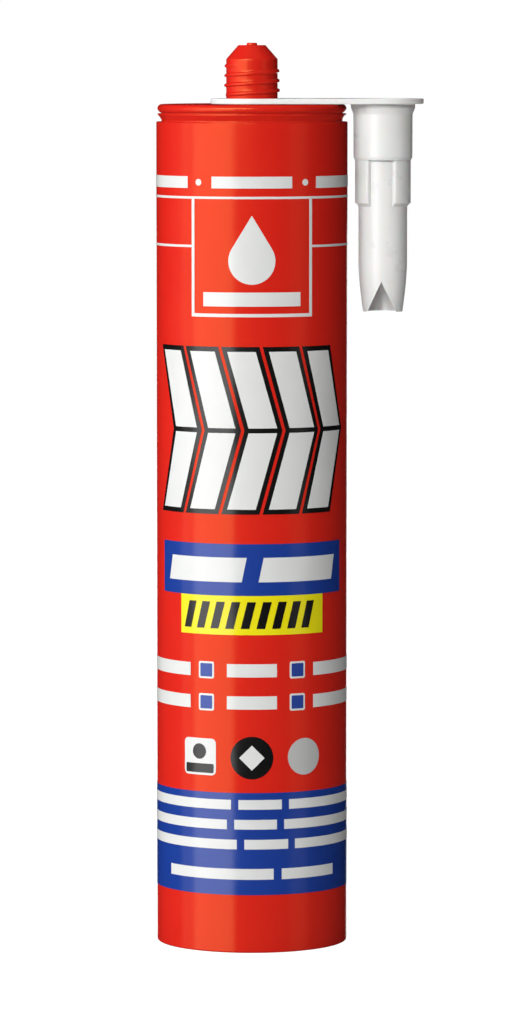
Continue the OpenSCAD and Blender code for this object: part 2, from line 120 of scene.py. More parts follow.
def linear(colour):
    """An sRGB hex colour as linear red, green, blue and alpha."""
    parts = [int(colour[i:i + 2], 16) / 255 for i in (1, 3, 5)]
    return [c / 12.92 if c <= 0.04045 else ((c + 0.055) / 1.055) ** 2.4 for c in parts] + [1.0]


def number(name, value, description, low=0.0, **options):
    """A number property."""
    return FloatProperty(
        name=name, description=description, default=value, min=low, **options)


def length(name, mm, description):
    """A length property, given in millimetres."""
    return number(name, mm * MM, description, unit="LENGTH", subtype="DISTANCE", precision=4)


def angle(name, turn, description):
    """An angle property, given in degrees."""
    return number(name, radians(turn), description, unit="ROTATION", subtype="ANGLE")


def power(name, watts, description):
    """A lamp's power property, given in watts."""
    return number(name, watts, description, unit="POWER")


def colour(name, code, description):
    """A colour property, given as sRGB hex."""
    return FloatVectorProperty(
        name=name, description=description, default=linear(code), size=4,
        min=0.0, max=1.0, subtype="COLOR")


class CartridgeSizes(bpy.types.PropertyGroup):
    """Sizes of the red moulding: barrel, head and nipple."""

    barrel_r: length("Barrel radius", CARTRIDGE_HIGH.x / MM, "Outside of the barrel")
    barrel_h: length("Barrel height", 213.3, "From the rear rim to the groove in the head")
    wall: length("Barrel wall", 1.35, "Thickness of the barrel's wall")
    lead_in: length("Lead-in depth", 12.0, "Depth of the wider mouth that takes the piston")
    lead_in_step: length("Lead-in step", 0.15, "How much wider the mouth is, on the radius")
    rim_edge: length("Rim edge", 0.5, "Rounding of the rear rim")
    mouth_edge: length("Mouth edge", 0.4, "Chamfer inside the rear rim")
    barrel_edge: length("Barrel edge", 0.25, "Rounding of the barrel's upper edge")
    groove: length("Groove depth", 1.35, "Depth of the groove under the head's ridges")
    groove_h: length("Groove height", 0.4, "Height of that groove")
    fine_edge: length("Fine edge", 0.1, "Rounding of the groove and of the lower ridge")
    ridge_h: length("Lower ridge height", 1.7, "Height of the slanted ridge over the groove")
    ridge_rim: length("Lower ridge rim", 0.3, "Upright edge on top of that ridge")
    ridge_in: length("Lower ridge inset", 0.35, "How much slimmer it is than the barrel")
    seam_h: length("Seam height", 0.2, "Space between the two ridges")
    seam_in: length("Seam inset", 1.25, "How much slimmer that space is than the barrel")
    bead_r: length("Bead radius", 1.1, "Radius of the rounded ridge on top of the head")
    bead_in: length("Bead inset", 0.3, "How much slimmer that ridge is than the barrel")
    head_wall: length("Head wall", 1.8, "Thickness of the flat head")
    nipple_r: length("Nipple radius", 6.65, "Radius of the nipple under its thread")
    nipple_h: length("Nipple height", 11.6, "Straight part of the nipple")
    nipple_wall: length("Nipple wall", 1.25, "Thickness of the nipple's wall")
    nipple_foot: length("Nipple foot", 0.2, "Rounding between the head and the nipple")
    nipple_edge: length("Nipple edge", 0.35, "Rounding of the nipple's shoulder")
    tip_r: length("Tip radius", 3.5, "Flat end of the closed tip")
    tip_edge: length("Tip edge", 0.3, "Rounding of the tip")
    gate_r: length("Gate radius", 1.35, "Stub left by the mould on the tip")
    gate_h: length("Gate height", 0.6, "Height of that stub")
    gate_foot: length("Gate foot", 0.15, "Rounding at its foot")


class ThreadSizes(bpy.types.PropertyGroup):
    """Sizes of the thread on the nipple."""

    pitch: length("Pitch", 2.5, "Rise of the thread in one turn")
    depth: length("Depth", 0.6, "Height of the ridge at its lower end")
    end_depth: length("End depth", 0.4, "Height of the ridge at its upper end")
    foot: length("Foot", 1.04, "Width of the ridge where it meets the nipple")
    crest: length("Crest", 0.5, "Width of the ridge's crest")
    start: length("Start", 220.025, "Height of the middle of the ridge at its lower end")
    edge: length("Edge", 0.12, "Rounding of the ridge's edges")
    plain_low: length("Plain foot", 0.3, "Plain nipple under the thread")
    plain_high: length("Plain end", 0.5, "Plain nipple over the thread")
    start_at: angle("Start angle", 170, "Where the ridge starts, counted from the nozzle's side")
    turns: number("Turns", 3.2, "Turns of the thread", low=1.0)
    fade: number("Fade", 1 / 6, "Part of a turn in which each end rises or sinks", low=0.01)


class NozzleSizes(bpy.types.PropertyGroup):
    """Sizes of the white moulding: ring, strap and nozzle."""

    strap_t: length("Strap thickness", 1.4, "Thickness of the strap and its ring")
    ring_r: length("Ring radius", 10.7, "Outside of the strap's end round the nipple")
    end_r: length("Strap end radius", 10.5, "Outside of the strap's end at the nozzle")
    ring_hole_r: length("Ring hole radius", 6.9, "Hole of the ring round the nipple")
    collar_r: length("Collar radius", 8.3, "Collar under the strap")
    body_r: length("Body radius", 7.65, "Nozzle's body round its screw socket")
    socket_r: length("Socket radius", 6.75, "Socket for the nipple")
    grip_r: length("Grip radius", 7.2, "Raised sides of the grip")
    tube_r: length("Tube radius", 6.3, "Straight tube")
    tip_r: length("Tip radius", 5.1, "Outer edge of the tip")
    tube_wall: length("Tube wall", 1.05, "Thickness of the tube's wall")
    notch_w: length("Notch width", 7.6, "Width of the V notch at the tip's edge")
    notch_h: length("Notch height", 7.9, "Height of the V notch")
    collar_foot: length("Collar foot", 216.8, "Height of the collar's lower edge")
    body_high: length("Body top", 215.2, "Height of the body's upper end")
    body_low: length("Body foot", 204.2, "Height of the body's lower end")
    body_taper: length("Body taper", 0.03, "How much slimmer the body is at its lower end")
    socket_low: length("Socket foot", 206.0, "Height of the socket's lower end")
    bore_high: length("Bore top", 204.5, "Height of the narrow bore's upper end")
    grip_high: length("Grip top", 203.4, "Height of the grip's upper end")
    grip_low: length("Grip foot", 192.3, "Height of the grip's lower end")
    grip_step: length("Grip step", 0.15, "Step from the body in to the grip")
    taper_high: length("Taper top", 176.0, "Height where the tube starts to narrow")
    edge: length("Edge", 0.25, "Rounding of the strap's edges")
    collar_edge: length("Collar edge", 0.2, "Rounding of the collar's lower edge")
    body_edge: length("Body edge", 0.15, "Rounding of the body's lower edge")
    inner_edge: length("Inner edge", 0.3, "Rounding under the collar and in the socket")
    window: angle("Window", 26, "Half width of the space between the grip's raised sides")
    turn: angle("Turn", 5, "How far the grip and the notch are turned to the left")


class PrintSizes(bpy.types.PropertyGroup):
    """Sizes of the ink round the barrel. Heights are over its foot, or as they say."""

    foot: length("Foot", 15.1, "Lower edge of the print above the rear rim")
    gap: length("Film gap", 0.02, "Space under each film")
    film: length("Film thickness", 0.05, "Thickness of each film")
    band_h: length("Band height", 26.45, "Blue band round the foot")
    band_row: length("Band row", 3.05, "Its highest row under its top")
    band_pitch: length("Band pitch", 5.15, "From one row on the band to the next")
    foot_row: length("Foot row", 21.05, "Lowest row under the band's top")
    tile_row: length("Tile row", 9.05, "Tile and discs above the band")
    tile_bar: length("Tile bar", 2.97, "Tile's bar under its middle")
    tile_dot: length("Tile dot", 1.357, "Tile's dot over its middle")
    tile_dot_r: length("Tile dot radius", 1.995, "Radius of that dot")
    black_disc_r: length("Black disc radius", 5.5, "Radius of the disc under the lozenge")
    grey_disc_r: length("Grey disc radius", 4.75, "Radius of the pale grey disc")
    red_low_row: length("Lower row", 49.7, "Lower row on the red")
    red_high_row: length("Upper row", 58.0, "Upper row on the red")
    yellow_low: length("Yellow foot", 67.2, "Lower edge of the yellow field")
    stripe_margin: length("Stripe margin", 1.6, "Yellow above and below the stripes")
    blue_low: length("Blue foot", 77.3, "Lower edge of the blue field")
    blue_h: length("Blue height", 13.3, "Height of the blue field")
    blue_margin: length("Blue margin", 3.5, "Blue above and below the slanted bars")
    motif_low: length("Chevron foot", 98.2, "Lower edge of the chevrons")
    motif_h: length("Chevron height", 42.9, "Height of the chevrons")
    outline: length("Chevron outline", 1.25, "Width of the chevrons' dark outline")
    frame_low: length("Frame foot", 148.7, "Lower edge of the white frame")
    frame_h: length("Frame height", 30.7, "Height of the white frame")
    frame_line: length("Frame line", 0.85, "Width of the frame's line")
    frame_row: length("Frame row", 4.5, "Row above the frame's lower edge")
    fine_line: length("Fine line", 0.6, "Height of the lines round the barrel")
    line_pitch: length("Line pitch", 12.4, "Second line under the first")
    drop_up: length("Drop", 14.3, "Drop's body above the frame's lower edge")
    drop_r: length("Drop radius", 6.0, "Radius of the drop's body")
    drop_point: length("Drop point", 11.6, "From the middle of its body to its point")
    top_row: length("Top row", 3.6, "Highest row above the frame")
    dot_r: length("Dot radius", 0.85, "Dots between the bars of that row")
    chevrons: IntProperty(name="Chevrons", description="Number of chevrons", default=5, min=1)
    stripes: IntProperty(name="Stripes", description="Stripes on the yellow", default=9, min=1)


class FillingSizes(bpy.types.PropertyGroup):
    """Sizes of the sealant between the piston and the cartridge's head."""

    gap: length("Gap", 0.05, "Space between the sealant and the cartridge")
    face_z: length("Face height", 36.2, "Flat underside on the piston")
    face_r: length("Face radius", 21.155, "Radius of that underside")
    foot_r: length("Foot radius", 23.055, "Inner edge of the ring round it")


class Finishes(bpy.types.PropertyGroup):
    """Colours of the plastics, the inks and the filling."""

    red: colour("Cartridge", "#e3261c", "Red polyethylene of the cartridge")
    nozzle: colour("Nozzle", "#f8f8f5", "White polyethylene of the nozzle")
    piston: colour("Piston", "#e4e1d6", "Natural polyethylene of the piston")
    sealant: colour("Sealant", "#ebe8df", "White filling")
    white_ink: colour("White ink", "#eaebe9", "White print")
    blue_ink: colour("Blue ink", "#1c3f9a", "Blue print")
    yellow_ink: colour("Yellow ink", "#f7ea10", "Yellow print")
    black_ink: colour("Black ink", "#151414", "Black print")
    grey_ink: colour("Grey ink", "#c6c7c5", "Pale grey print")


class StageSettings(bpy.types.PropertyGroup):
    """Camera, lamps and background."""

    camera: FloatVectorProperty(
        name="Camera", description="Place of the camera", default=(1.7 * MM, -1.5, 234.75 * MM),
        subtype="TRANSLATION", unit="LENGTH")
    tilt: angle("Camera tilt", 4.68, "How far the camera looks down")
    lens: number("Lens", 203.45, "Focal length in millimetres", low=1.0, unit="CAMERA")
    gloss: power("Softbox", 13.2, "Tall softbox at the left")
    wing: power("Wing", 1.2, "Dim panel beside the softbox")
    back_gloss: power("Back softbox", 2.9, "Low panel behind")
    strip: power("Strip", 0.62, "Weak strip light at the right")
    front: power("Front lamp", 58.0, "Soft lamp beside and above the camera")
    side: power("Side lamp", 7.6, "Soft lamp at the left")
    back: power("Back lamp", 10.5, "Soft lamp behind")
    top: power("Top lamp", 5.0, "Soft lamp overhead")
    fill: number("Fill", 0.02, "Weak light on matt surfaces from all round")
    dim: number("Dim room", 0.008, "What the gloss shows between the lamps")
    floor: colour("Floor", "#c0c0c0", "Pale floor")


def profile(corners, bend=24.0):
    """Corners as (radius, height) or (radius, height, rounding) as points.

    A corner with a rounding becomes an arc of steps that turn by at most bend degrees.
    """
    points = []
    for i, corner in enumerate(corners):
        here = Vector(corner[:2])
        if len(corner) < 3:
            points.append(here)
            continue
        back = (Vector(corners[i - 1][:2]) - here).normalized()
        on = (Vector(corners[i + 1][:2]) - here).normalized()
        half = back.angle(on) / 2
        centre = here + (back + on).normalized() * corner[2] / sin(half)
        start = here + back * corner[2] / tan(half) - centre
        turn = (pi - 2 * half) * (1 if back.y * on.x > back.x * on.y else -1)
        steps = max(2, ceil(abs(turn) / radians(bend)))
        points += [centre + Matrix.Rotation(turn * k / steps, 2) @ start for k in range(steps + 1)]
    return points


def spin_profile(bm, points, steps, axis_x=0.0, rise=0.0):
    """Spins points given as (radius, height) once round an upright axis, from the front."""
    verts = [bm.verts.new((axis_x, -p[0], p[1])) for p in points]
    edges = [bm.edges.new(pair) for pair in zip(verts, verts[1:])]
    bmesh.ops.spin(
        bm, geom=verts + edges, cent=(axis_x, 0, 0), axis=(0, 0, 1), dvec=(0, 0, rise / steps),
        angle=2 * pi, steps=steps, use_merge=not rise)


def merge(bm):
    """Merges doubles."""
    bmesh.ops.remove_doubles(bm, verts=bm.verts, dist=MERGE)


def weld(bm):
    """Merges doubles, and then turns the faces outwards."""
    merge(bm)
    bmesh.ops.recalc_face_normals(bm, faces=bm.faces)


def slice_along(bm, place, normal, geom=None, **cut):
    """Cuts a mesh, or the given part of it, along a plane."""
    bmesh.ops.bisect_plane(
        bm, geom=geom or bm.verts[:] + bm.edges[:] + bm.faces[:], dist=CUT, plane_co=place,
        plane_no=normal, **cut)


def join(bm, part):
    """Adds a part to a mesh and frees it."""
    mesh = bpy.data.meshes.new("part")
    part.to_mesh(mesh)
    part.free()
    bm.from_mesh(mesh)
    bpy.data.meshes.remove(mesh)


def inside(c):
    """The cartridge's inside as (radius, height), from the tip down to the end of the bore."""
    under_z = c.barrel_h + c.groove_h + c.ridge_h + c.seam_h + 2 * c.bead_r - c.head_wall
    nipple_z = under_z + c.head_wall + c.nipple_h - c.nipple_wall / 2
    tip_z = CARTRIDGE_HIGH.z - c.gate_h - c.nipple_wall
    nipple_r = c.nipple_r - c.nipple_wall
    neck_z = c.barrel_h - c.wall
    bore_r = c.barrel_r - c.wall
    neck_r = bore_r - c.groove
    return [
        (0, tip_z), (c.tip_r - c.nipple_wall, tip_z), (nipple_r, nipple_z), (nipple_r, under_z),
        (neck_r, under_z), (neck_r, neck_z), (bore_r, neck_z - c.groove)]


def add_piece(name, bm, material, body, node_name):
    """Makes a welded mesh a piece that rides on a body and stands for a CAD node."""
    weld(bm)
    mesh = bpy.data.meshes.new(name)
    bm.to_mesh(mesh)
    bm.free()
    mesh.shade_smooth()
    mesh.set_sharp_from_angle(angle=radians(35))
    mesh.materials.append(material)
    piece = place_object(name, mesh)
    even = piece.modifiers.new("Even shading", "WEIGHTED_NORMAL")
    even.keep_sharp = True
    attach(piece, body)
    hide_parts(node_name)
    return piece


def place_object(name, data):
    """Adds an object to the scene."""
    made = bpy.data.objects.new(name, data)
    bpy.context.scene.collection.objects.link(made)
    return made


def node(tree, kind, inputs=None, **settings):
    """Adds a shader node; inputs are values or the outputs that they come from."""
    made = tree.nodes.new(f"ShaderNode{kind}")
    for name, value in settings.items():
        setattr(made, name, value)
    for name, value in (inputs or {}).items():
        if isinstance(value, bpy.types.NodeSocket):
            tree.links.new(value, made.inputs[name])
        else:
            made.inputs[name].default_value = value
    return made


def empty_tree(owner):
    """The emptied node tree of a material or a world."""
    owner.use_nodes = True
    owner.node_tree.nodes.clear()
    return owner.node_tree


def polymer(name, shade, rough, grain, depth, along=1.0, patch=0.02, tone=0.04, **shader):
    """A plastic, ink or paste whose gloss and tone vary a little over its surface.

    rough is its mean roughness, grain the size of its finest texture and depth how deep that
    is, along how much longer it is up the piece, patch the size of its soft clouds and tone how
    much those darken it.
    """
    made = bpy.data.materials.new(name)
    tree = empty_tree(made)
    place = node(tree, "TexCoord").outputs["Object"]
    stretched = node(tree, "Mapping", {
        "Vector": place, "Scale": (1 / grain, 1 / grain, 1 / (grain * along))})
    fine = node(tree, "TexNoise", {
        "Vector": stretched.outputs["Vector"], "Scale": 1.0, "Detail": 2.0})
    clouds = node(tree, "TexNoise", {
        "Vector": place, "Scale": 1 / patch, "Detail": 3.0, "Roughness": 0.55})
    gloss = node(tree, "MapRange", {
        "Value": clouds.outputs["Fac"], "From Min": 0.3, "From Max": 0.7,
        "To Min": rough * (1 - GLOSS_SPREAD), "To Max": rough * (1 + GLOSS_SPREAD)})
    dark = [c * (1 - tone) for c in shade[:3]] + [1.0]
    tint = node(tree, "Mix", {
        "Factor": clouds.outputs["Fac"], "A": dark, "B": shade}, data_type="RGBA")
    relief = node(tree, "Bump", {
        "Height": fine.outputs["Fac"], "Strength": 1.0, "Distance": depth})
    surface = node(tree, "BsdfPrincipled", {
        "Base Color": tint.outputs["Result"], "Roughness": gloss.outputs["Result"],
        "Normal": relief.outputs["Normal"], **shader})
    node(tree, "OutputMaterial", {"Surface": surface.outputs["BSDF"]})
    return made


class CARTRIDGE_OT_barrel(bpy.types.Operator):
    """Turn the barrel, head and threaded nipple of the cartridge"""

    bl_idname = "cartridge.barrel"
    bl_label = "Barrel, head and nipple"

    steps = 192
    bead_steps = 12

    def execute(self, context):
        c, t = context.scene.cartridge_sizes, context.scene.thread_sizes
        bm = bmesh.new()
        groove_r = c.barrel_r - c.groove
        ridge_z = c.barrel_h + c.groove_h
        ridge_r = c.barrel_r - c.ridge_in
        seam_z = ridge_z + c.ridge_h
        bead_z = seam_z + c.seam_h + c.bead_r
        bead_x = c.barrel_r - c.bead_in - c.bead_r
        head_z = bead_z + c.bead_r
        nipple_z = head_z + c.nipple_h
        tip_z = CARTRIDGE_HIGH.z - c.gate_h
        thread_low, thread_high = head_z + t.plain_low, nipple_z - t.plain_high

        # Outside, from the mouth up to the foot of the thread
        seam_r = c.barrel_r - c.seam_in
        start = -acos((seam_r - bead_x) / c.bead_r)
        bead = [
            (bead_x + c.bead_r * cos(a), bead_z + c.bead_r * sin(a))
            for a in [start + (pi / 2 - start) * k / self.bead_steps
                      for k in range(self.bead_steps + 1)]]
        bore_r = c.barrel_r - c.wall
        mouth_r = bore_r + c.lead_in_step
        spin_profile(bm, profile([
            (mouth_r + c.mouth_edge, 0), (c.barrel_r, 0, c.rim_edge),
            (c.barrel_r, c.barrel_h, c.barrel_edge), (groove_r, c.barrel_h, c.fine_edge),
            (groove_r, ridge_z, c.fine_edge), (ridge_r, seam_z - c.ridge_rim, c.fine_edge),
            (ridge_r, seam_z, c.fine_edge), (seam_r, seam_z)])
            + bead + profile([
                bead[-1], (c.nipple_r, head_z, c.nipple_foot), (c.nipple_r, thread_low)])[1:],
            self.steps)

        # Closed tip, and the inside down to the mouth
        spin_profile(bm, profile([
            (c.nipple_r, thread_high), (c.nipple_r, nipple_z, c.nipple_edge),
            (c.tip_r, tip_z, c.tip_edge), (c.gate_r, tip_z, c.gate_foot),
            (c.gate_r, tip_z + c.gate_h, c.gate_h / 2), (0, tip_z + c.gate_h)]), self.steps)
        spin_profile(bm, inside(c) + [
            (bore_r, c.lead_in + c.lead_in_step), (mouth_r, c.lead_in), (mouth_r, c.mouth_edge),
            (mouth_r + c.mouth_edge, 0)], self.steps)

        self.thread(bm, c.nipple_r, t, thread_low, thread_high)
        # Moulded polyethylene: an even gloss that softens the lamps' edges a little, with a
        # faint lengthwise draw from the mould. The draw is coarser than the real 0.1 mm.
        shell = add_piece(
            "cartridge_shell", bm,
            polymer("Red moulded polyethylene", context.scene.finishes.red, rough=0.2,
                    grain=0.5 * MM, depth=0.0012 * MM, along=30, patch=14 * MM, IOR=1.54,
                    **{"Specular Tint": linear("#ffc778")}),
            "cartridge_body", "cartridge")
        # Keeps the barrel's red off the white nozzle, which stands 1.5 mm beside it
        shell.visible_diffuse = False
        return {"FINISHED"}

    def thread(self, bm, foot_r, t, low, high):
        """Spins a comb of rounded teeth up a helix, and cuts it level at both ends."""
        comb = bmesh.new()
        front = 3 * pi / 2
        first = t.start + t.pitch * (front - t.start_at) / (2 * pi)
        first -= t.pitch * (2 + floor((first - low) / t.pitch))
        count = ceil((high - first) / t.pitch) + 1
        tooth = profile([
            (foot_r, -t.pitch / 2), (foot_r, -t.foot / 2, t.edge),
            (foot_r + t.depth, -t.crest / 2, t.edge), (foot_r + t.depth, t.crest / 2, t.edge),
            (foot_r, t.foot / 2, t.edge), (foot_r, t.pitch / 2)])
        points = [
            (p.x, first + k * t.pitch + p.y) for k in range(count) for p in tooth[:-1]]
        spin_profile(comb, points, self.steps, rise=t.pitch)
        merge(comb)
        for z, below in ((low, True), (high, False)):
            slice_along(comb, (0, 0, z), (0, 0, 1), clear_inner=below, clear_outer=not below)
        step = 2 * pi / self.steps
        for v in comb.verts:
            around = atan2(v.co.y, v.co.x)
            part = (around - t.start_at) / (2 * pi)
            turn = round((v.co.z - t.start) / t.pitch - part) + part
            fade = max(0.0, min(1.0, turn / t.fade, (t.turns - turn) / t.fade))
            depth = (t.depth + (t.end_depth - t.depth) * turn / t.turns) * fade
            r = foot_r + (v.co.xy.length - foot_r) * depth / t.depth
            if min(abs(v.co.z - low), abs(v.co.z - high)) < LEVEL:
                # A level end's points stand on the spokes, so that they meet the nipple's
                around, r = round(around / step) * step, foot_r
            v.co.x, v.co.y = r * cos(around), r * sin(around)
        join(bm, comb)


class CARTRIDGE_OT_nozzle(bpy.types.Operator):
    """Make the nozzle with its collar, grip and notch, on the strap that carries it"""

    bl_idname = "cartridge.nozzle"
    bl_label = "Nozzle and strap"

    steps = 180
    tip_steps = 8

    # How much of the tube's narrowing comes late, towards its tip
    late = 0.55

    def execute(self, context):
        n = context.scene.nozzle_sizes
        bm = bmesh.new()
        top, low = NOZZLE_HIGH.z, NOZZLE_LOW.z
        self.x = NOZZLE_HIGH.x - n.end_r
        under = top - n.strap_t
        tube_high = n.grip_low - (n.grip_r - n.tube_r)

        # Outside down to the tip, and back up the bore to the top of the socket
        tip = [
            (n.tube_r - (n.tube_r - n.tip_r) * (self.late * s * s + (1 - self.late) * s),
             n.taper_high - (n.taper_high - low) * s)
            for s in [k / self.tip_steps for k in range(self.tip_steps + 1)]]
        bore = [(r - n.tube_wall, z) for r, z in reversed(tip)]
        spin_profile(bm, profile([
            (n.collar_r + 2 * n.edge, under), (n.collar_r, under, n.edge),
            (n.collar_r, n.collar_foot, n.collar_edge), (n.body_r, n.body_high, n.inner_edge),
            (n.body_r - n.body_taper, n.body_low, n.body_edge),
            (n.grip_r + n.grip_step, n.grip_high), (n.grip_r, n.grip_high),
            (n.grip_r, n.grip_low), (n.tube_r, tube_high)])
            + tip + bore + profile([
                bore[-1], (n.tube_r - n.tube_wall, n.bore_high, n.inner_edge),
                (n.socket_r, n.socket_low, n.inner_edge), (n.socket_r, top - n.inner_edge),
                (n.socket_r + n.inner_edge, top)])[1:],
            self.steps, self.x)
        weld(bm)
        self.windows(bm, n, n.grip_high, tube_high)
        self.notch(bm, n, low)
        bmesh.ops.rotate(
            bm, verts=bm.verts[:], cent=(self.x, 0, 0), matrix=Matrix.Rotation(-n.turn, 3, "Z"))
        self.strap(bm, n, under, top)
        # Satin polyethylene: pale and slightly translucent, with soft highlights over the
        # grain of a spark-eroded mould. The grain is coarser than the real 0.05 mm.
        piece = add_piece(
            "nozzle_and_strap", bm,
            polymer("Satin white polyethylene", context.scene.finishes.nozzle, rough=0.3,
                    grain=0.25 * MM, depth=0.003 * MM, patch=8 * MM, tone=0.03, IOR=1.54,
                    **{"Subsurface Weight": 0.15, "Subsurface Scale": 1.0 * MM}),
            "nozzle_body", "nozzle")
        # Keeps the barrel's gloss beside the nozzle as dark as round the rest of its side,
        # and the strap's white off the foot of the nipple
        piece.visible_glossy = False
        piece.visible_diffuse = False
        return {"FINISHED"}

    def windows(self, bm, n, high, low):
        """Sinks the spaces between the grip's raised sides, at the front and the back."""
        centre = Vector((self.x, 0))

        def off(point):
            return abs(atan2(point.x - self.x, abs(point.y)))

        def in_window(face):
            middle = face.calc_center_median()
            r = (middle.xy - centre).length
            return off(middle) < n.window and low < middle.z < high and r > n.tube_r

        faces = [f for f in bm.faces if in_window(f)]
        made = bmesh.ops.extrude_face_region(bm, geom=faces)["geom"]
        for v in made:
            if isinstance(v, bmesh.types.BMVert):
                v.co.xy = centre + (v.co.xy - centre).normalized() * n.tube_r
        bmesh.ops.delete(bm, geom=[f for f in faces if f.is_valid], context="FACES_ONLY")
        # The raised sides fall away to the windows in a quarter round
        rise = n.grip_r - n.tube_r
        for v in bm.verts:
            out = v.co.xy - centre
            across = n.grip_r * (off(v.co) - n.window)
            if (low < v.co.z < high + LEVEL and n.tube_r < out.length < n.grip_r + LEVEL
                    and -LEVEL < across < rise):
                r = n.tube_r + sqrt(max(0.0, rise ** 2 - (rise - across) ** 2))
                v.co.xy = centre + out.normalized() * min(r, out.length)
        merge(bm)

    def notch(self, bm, n, low):
        """Cuts the V notch out of the front wall and closes its two sides."""
        apex = low + n.notch_h
        reach = apex + MM

        def beside(face, side):
            middle = face.calc_center_median()
            return (middle.x - self.x) * side > 0 and middle.y < 0 and middle.z < reach

        def in_notch(face):
            middle = face.calc_center_median()
            off = abs(middle.x - self.x)
            return middle.y < 0 and off < n.notch_w / 2 * (apex - middle.z) / n.notch_h - CUT

        for side in (-1, 1):
            part = [f for f in bm.faces if beside(f, side)]
            rims = {rim for f in part for rim in (*f.edges, *f.verts)}
            slice_along(
                bm, (self.x, 0, apex), (side * n.notch_h, 0, n.notch_w / 2), [*part, *rims])
        bmesh.ops.delete(bm, geom=[f for f in bm.faces if in_notch(f)], context="FACES")
        peak = [
            v for v in bm.verts
            if abs(v.co.x - self.x) < LEVEL and abs(v.co.z - apex) < LEVEL and v.co.y < 0]
        if len(peak) != 2:
            raise RuntimeError(f"the notch ends in {len(peak)} points and not two")
        bm.edges.new(peak)
        open_edges = [e for e in bm.edges if len(e.link_faces) < 2 and e.verts[0].co.z < reach]
        bmesh.ops.edgenet_fill(bm, edges=open_edges)

    def strap(self, bm, n, under, top):
        """Adds the flat strap with its rounded edge and the ring's hole."""
        lean = asin((n.ring_r - n.end_r) / self.x)
        section = profile([
            (-2 * n.edge, under), (0, under, n.edge), (0, top, n.edge), (-2 * n.edge, top)])
        rows = []
        for x, r, first, turn in (
                (0.0, n.ring_r, pi / 2 - lean, pi + 2 * lean),
                (self.x, n.end_r, -pi / 2 + lean, pi - 2 * lean)):
            ray = Vector((cos(first), sin(first)))
            verts = [
                bm.verts.new((x + (r + p.x) * ray.x, (r + p.x) * ray.y, p.y)) for p in section]
            edges = [bm.edges.new(pair) for pair in zip(verts, verts[1:])]
            last = bmesh.ops.spin(
                bm, geom=verts + edges, cent=(x, 0, 0), axis=(0, 0, 1), angle=turn,
                steps=64)["geom_last"]
            rows.append((edges, [g for g in last if isinstance(g, bmesh.types.BMEdge)]))
        bmesh.ops.bridge_loops(bm, edges=rows[0][1] + rows[1][0])
        bmesh.ops.bridge_loops(bm, edges=rows[1][1] + rows[0][0])
        spin_profile(bm, profile([
            (n.ring_hole_r + 2 * n.edge, under), (n.ring_hole_r, under, n.edge),
            (n.ring_hole_r, top, n.edge), (n.ring_hole_r + 2 * n.edge, top)]), self.steps)
        merge(bm)
        for z in (under, top):
            rim = [
                e for e in bm.edges
                if len(e.link_faces) == 1 and all(abs(v.co.z - z) < LEVEL for v in e.verts)]
            bmesh.ops.triangle_fill(bm, edges=rim, use_beauty=True, normal=(0, 0, 1))


